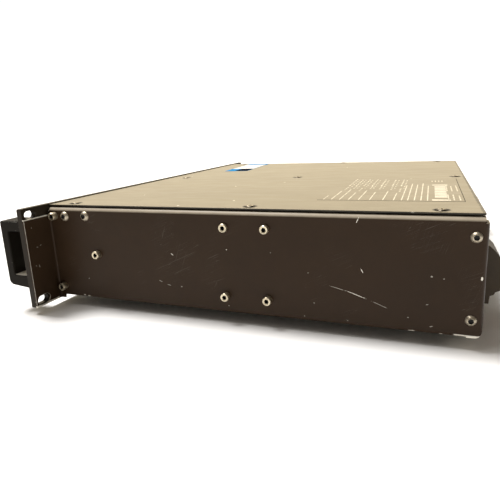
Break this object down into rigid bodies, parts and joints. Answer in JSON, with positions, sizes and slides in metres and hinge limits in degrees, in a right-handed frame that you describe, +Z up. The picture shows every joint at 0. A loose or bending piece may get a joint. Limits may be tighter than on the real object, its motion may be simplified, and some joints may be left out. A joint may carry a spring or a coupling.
{
  "type": "rack power amplifier",
  "caption": "Rack power amplifier: thick front panel with ears and bar handles, painted steel case with a screwed cover, gain knobs, rocker, fan, input sockets and screw-down output posts.",
  "frame": {"origin": "bottom centre of the bounding box, on the surface that the feet stand on", "axes": "+X to the right seen from the front, +Y from the front panel to the rear, +Z up"},
  "size_m": [0.4826, 0.414, 0.0941],
  "materials": {
    "panel_paint": "satin black-brown paint with rubbed edges",
    "case_paint": "satin dark brown-black paint, lightly textured and chipped",
    "handle_paint": "satin black-brown paint, worn on its inner faces",
    "zinc_sheet": "dull zinc plate",
    "screw_steel": "yellowish zinc-plated steel",
    "guard_wire": "bright plated wire",
    "foot_rubber": "matt black rubber",
    "black_plastic": "fine-grained moulded black plastic",
    "red_plastic": "moulded red plastic",
    "smoked_lens": "smoked clear plastic",
    "winding": "varnished copper winding",
    "bare_aluminium": "bare extruded aluminium",
    "circuit_board": "green solder mask",
    "capacitor_sleeve": "shrunk plastic sleeve"
  },
  "bodies": {
    "chassis": {"front_panel": "panel_paint", "handle_left": "handle_paint", "handle_right": "handle_paint", "side_panel_left": "case_paint", "side_panel_right": "case_paint", "top_cover": "case_paint", "rear_panel": "case_paint", "bottom_plate": "zinc_sheet", "front_rail": "zinc_sheet", "centre_brace": "zinc_sheet", "cover_screw_front_left": "screw_steel", "cover_screw_front_middle": "screw_steel", "cover_screw_front_right": "screw_steel", "cover_screw_centre_left": "screw_steel", "cover_screw_centre_middle": "screw_steel", "cover_screw_centre_right": "screw_steel", "cover_screw_rear_left": "screw_steel", "cover_screw_rear_middle": "screw_steel", "cover_screw_rear_right": "screw_steel", "foot_front_left": "foot_rubber", "foot_front_right": "foot_rubber", "foot_rear_left": "foot_rubber", "foot_rear_right": "foot_rubber", "gain_pot_a": "zinc_sheet", "indicator_lens_a": "smoked_lens", "gain_pot_b": "zinc_sheet", "indicator_lens_b": "smoked_lens", "power_switch_case": "black_plastic", "transformer": "winding", "transformer_clamp": "zinc_sheet", "heatsink_a": "bare_aluminium", "heatsink_b": "bare_aluminium", "power_board": "circuit_board", "amplifier_board_a": "circuit_board", "amplifier_board_b": "circuit_board", "input_board": "circuit_board", "capacitor_positive": "capacitor_sleeve", "capacitor_negative": "capacitor_sleeve", "rectifier": "black_plastic", "fan_frame": "black_plastic", "fan_guard": "guard_wire", "input_socket_a": "black_plastic", "input_socket_b": "black_plastic", "mode_switch": "zinc_sheet", "breaker": "black_plastic", "mains_inlet": "black_plastic", "output_block_a": "black_plastic", "output_block_b": "black_plastic"},
    "gain_control_a": {"gain_knob_a": "black_plastic", "gain_shaft_a": "bare_aluminium"},
    "gain_control_b": {"gain_knob_b": "black_plastic", "gain_shaft_b": "bare_aluminium"},
    "power_rocker": {"power_rocker": "red_plastic"},
    "fan_rotor": {"fan_rotor": "black_plastic"},
    "mode_slider": {"mode_slider": "black_plastic"},
    "breaker_button": {"breaker_button": "red_plastic"},
    "binding_cap_a_plus": {"binding_cap_a_plus": "red_plastic"},
    "binding_cap_a_minus": {"binding_cap_a_minus": "black_plastic"},
    "binding_cap_b_plus": {"binding_cap_b_plus": "red_plastic"},
    "binding_cap_b_minus": {"binding_cap_b_minus": "black_plastic"}
  },
  "joints": [
    {"name": "gain_a_turn", "type": "hinge", "parent": "chassis", "child": "gain_control_a", "pos_m": [0.04, -0.17965, 0.056], "axis": [0, 1, 0], "range_deg": [-150, 150]},
    {"name": "gain_b_turn", "type": "hinge", "parent": "chassis", "child": "gain_control_b", "pos_m": [0.104, -0.17965, 0.056], "axis": [0, 1, 0], "range_deg": [-150, 150]},
    {"name": "power_rocker_tilt", "type": "hinge", "parent": "chassis", "child": "power_rocker", "pos_m": [0.18, -0.17905, 0.054], "axis": [1, 0, 0], "range_deg": [0, 16]},
    {"name": "fan_spin", "type": "hinge", "parent": "chassis", "child": "fan_rotor", "pos_m": [0.028, 0.16565, 0.051], "axis": [0, 1, 0], "continuous": true},
    {"name": "mode_switch_slide", "type": "slide", "parent": "chassis", "child": "mode_slider", "axis": [1, 0, 0], "range_m": [0, 0.0055]},
    {"name": "breaker_button_pop", "type": "slide", "parent": "chassis", "child": "breaker_button", "axis": [0, 1, 0], "range_m": [0, 0.003]},
    {"name": "binding_cap_a_plus_unscrew", "type": "slide", "parent": "chassis", "child": "binding_cap_a_plus", "axis": [0, 1, 0], "range_m": [0, 0.005]},
    {"name": "binding_cap_a_minus_unscrew", "type": "slide", "parent": "chassis", "child": "binding_cap_a_minus", "axis": [0, 1, 0], "range_m": [0, 0.005]},
    {"name": "binding_cap_b_plus_unscrew", "type": "slide", "parent": "chassis", "child": "binding_cap_b_plus", "axis": [0, 1, 0], "range_m": [0, 0.005]},
    {"name": "binding_cap_b_minus_unscrew", "type": "slide", "parent": "chassis", "child": "binding_cap_b_minus", "axis": [0, 1, 0], "range_m": [0, 0.005]}
  ]
}
